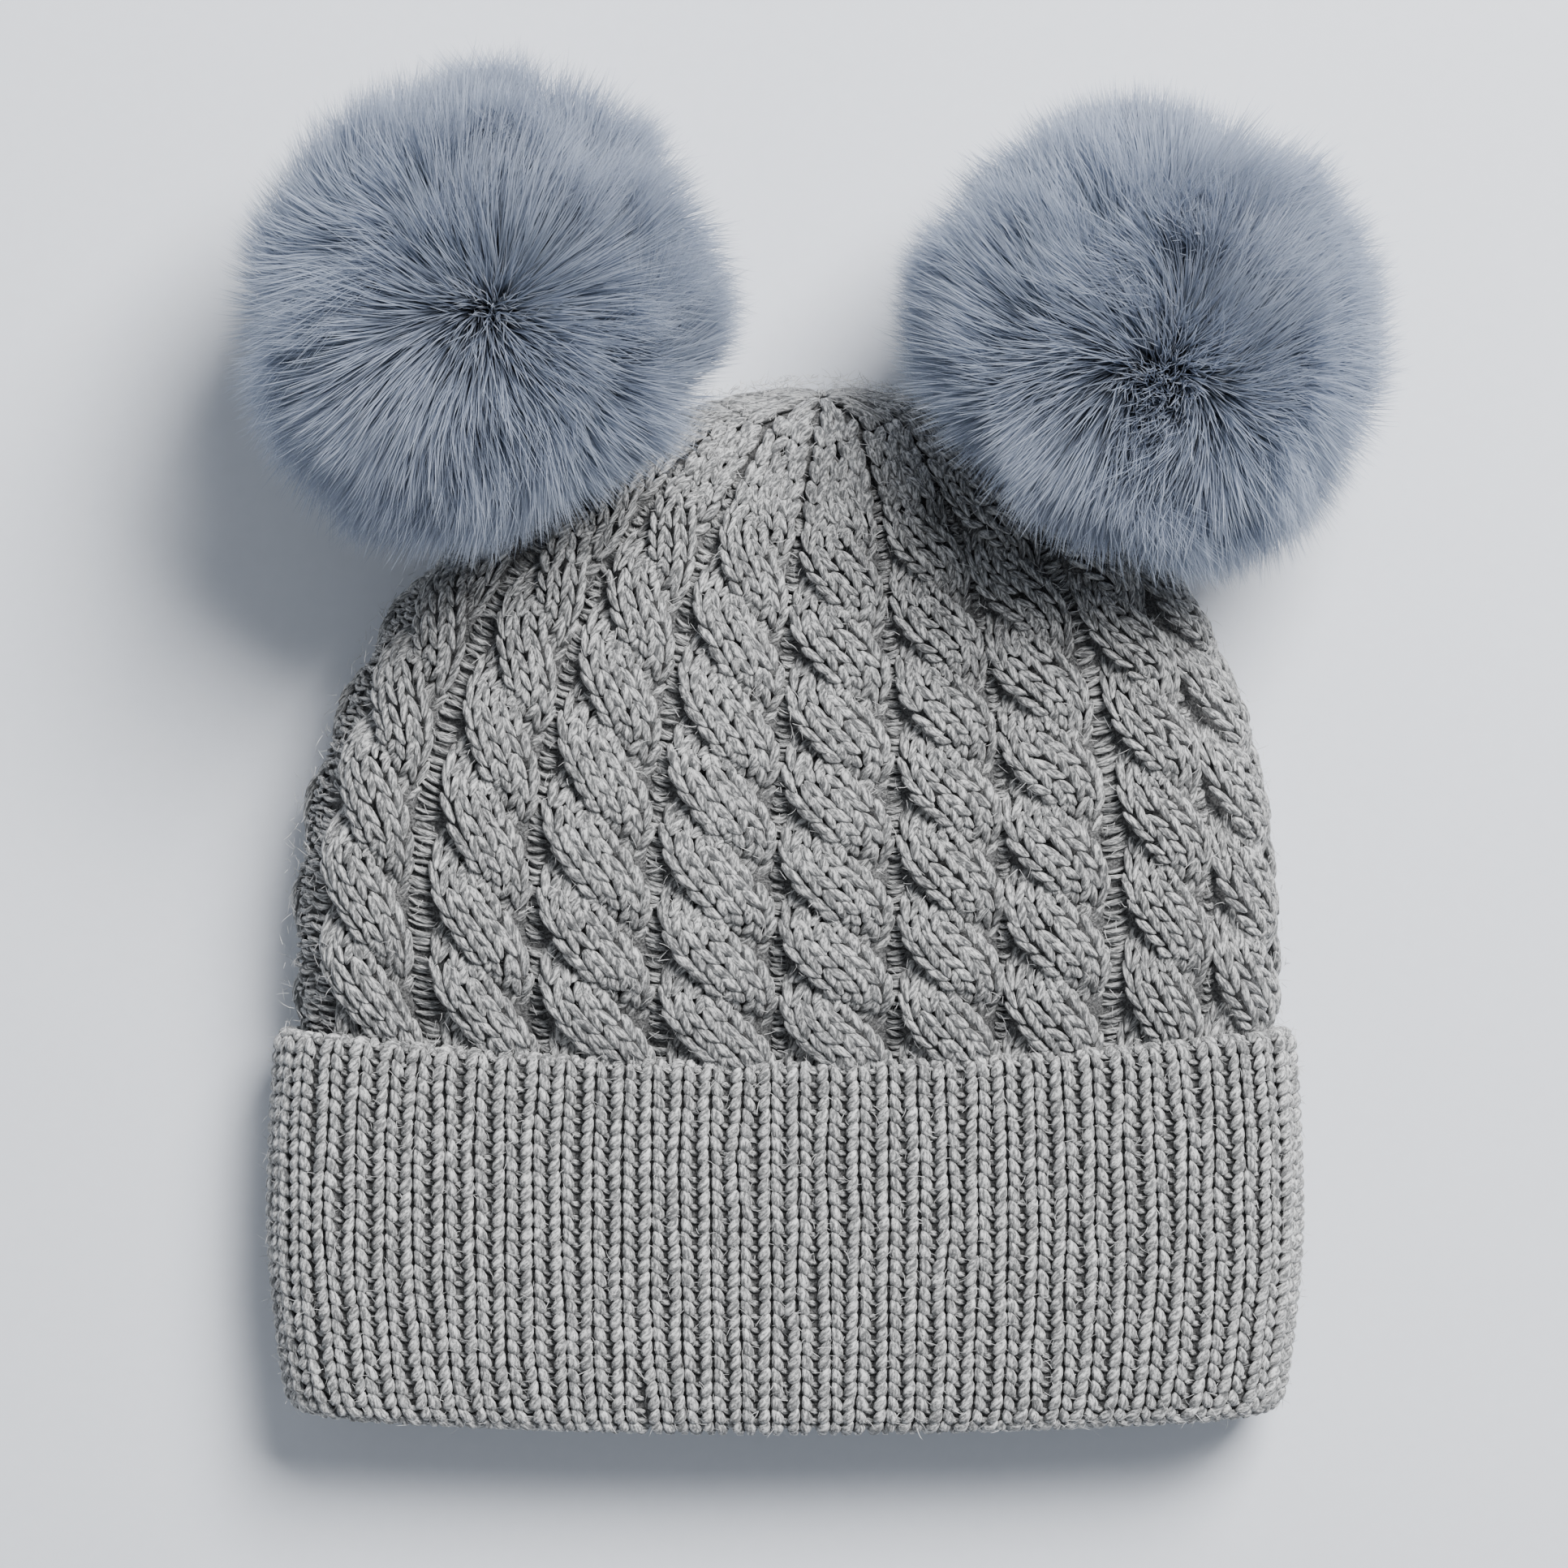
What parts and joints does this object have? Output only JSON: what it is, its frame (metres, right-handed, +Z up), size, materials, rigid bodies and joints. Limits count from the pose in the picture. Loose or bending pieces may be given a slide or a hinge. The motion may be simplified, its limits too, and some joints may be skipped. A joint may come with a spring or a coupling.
{
  "type": "pom pom beanie",
  "caption": "Knitted cable beanie with a turned-up rib cuff and removable faux-fur pom poms on the shoulders of the crown, lying on its back.",
  "frame": {"origin": "on the surface the hat lies on, below the middle of the box round the whole hat and its pom poms", "axes": "+Y from the cuff to the crown, +Z up from the back of the hat to its front, +X to the right seen from the front"},
  "size_m": [0.247, 0.295, 0.1072],
  "materials": {
    "cable_yarn": "heather grey acrylic yarn, cable knitted, soft and slightly fuzzy",
    "rib_yarn": "heather grey acrylic yarn, knitted in a one by one rib",
    "seam_yarn": "the same yarn, drawn tight",
    "felt": "thin grey needle felt",
    "snap_metal": "nickel-plated press snap",
    "fur_backing": "woven backing disc, blue grey",
    "thread": "strong sewing thread",
    "fur": "long blue-grey faux-fur pile, lighter at the tips",
    "fibre_fill": "white polyester fibre"
  },
  "bodies": {
    "hat": {"crown_shell": "cable_yarn", "head_band": "rib_yarn", "side_seam_ridge": "seam_yarn", "crown_draw_yarn": "seam_yarn", "left_stay_patch": "felt", "right_stay_patch": "felt"},
    "cuff": {"turned_up_cuff": "rib_yarn"},
    "left_snap": {"left_snap_cap": "snap_metal", "left_snap_stud": "snap_metal"},
    "left_socket": {"left_snap_socket": "snap_metal", "left_socket_cap": "snap_metal", "left_base_disc": "fur_backing", "left_draw_thread": "thread"},
    "left_pompom": {"left_fur_cover": "fur", "left_stuffing": "fibre_fill"},
    "right_snap": {"right_snap_cap": "snap_metal", "right_snap_stud": "snap_metal"},
    "right_socket": {"right_snap_socket": "snap_metal", "right_socket_cap": "snap_metal", "right_base_disc": "fur_backing", "right_draw_thread": "thread"},
    "right_pompom": {"right_fur_cover": "fur", "right_stuffing": "fibre_fill"}
  },
  "joints": [
    {"name": "cuff_unfold", "type": "slide", "parent": "hat", "child": "cuff", "axis": [0, -1, 0], "range_m": [0, 0.08]},
    {"name": "left_pompom_spin", "type": "hinge", "parent": "hat", "child": "left_snap", "pos_m": [-0.05252, 0.06062, 0.02752], "axis": [-0.3829, 0.7271, 0.5698], "continuous": true},
    {"name": "left_pompom_pull", "type": "slide", "parent": "left_snap", "child": "left_socket", "axis": [-0.3829, 0.7271, 0.5698], "range_m": [0, 0.03]},
    {"name": "left_pompom_tilt", "type": "hinge", "parent": "left_socket", "child": "left_pompom", "pos_m": [-0.05405, 0.06352, 0.0298], "axis": [-0.8848, -0.466, 0], "range_deg": [-12, 12]},
    {"name": "right_pompom_spin", "type": "hinge", "parent": "hat", "child": "right_snap", "pos_m": [0.05089, 0.059, 0.02769], "axis": [0.4619, 0.6724, 0.5784], "continuous": true},
    {"name": "right_pompom_pull", "type": "slide", "parent": "right_snap", "child": "right_socket", "axis": [0.4619, 0.6724, 0.5784], "range_m": [0, 0.03]},
    {"name": "right_pompom_tilt", "type": "hinge", "parent": "right_socket", "child": "right_pompom", "pos_m": [0.05274, 0.06169, 0.03], "axis": [-0.8242, 0.5663, 0], "range_deg": [-12, 12]}
  ]
}
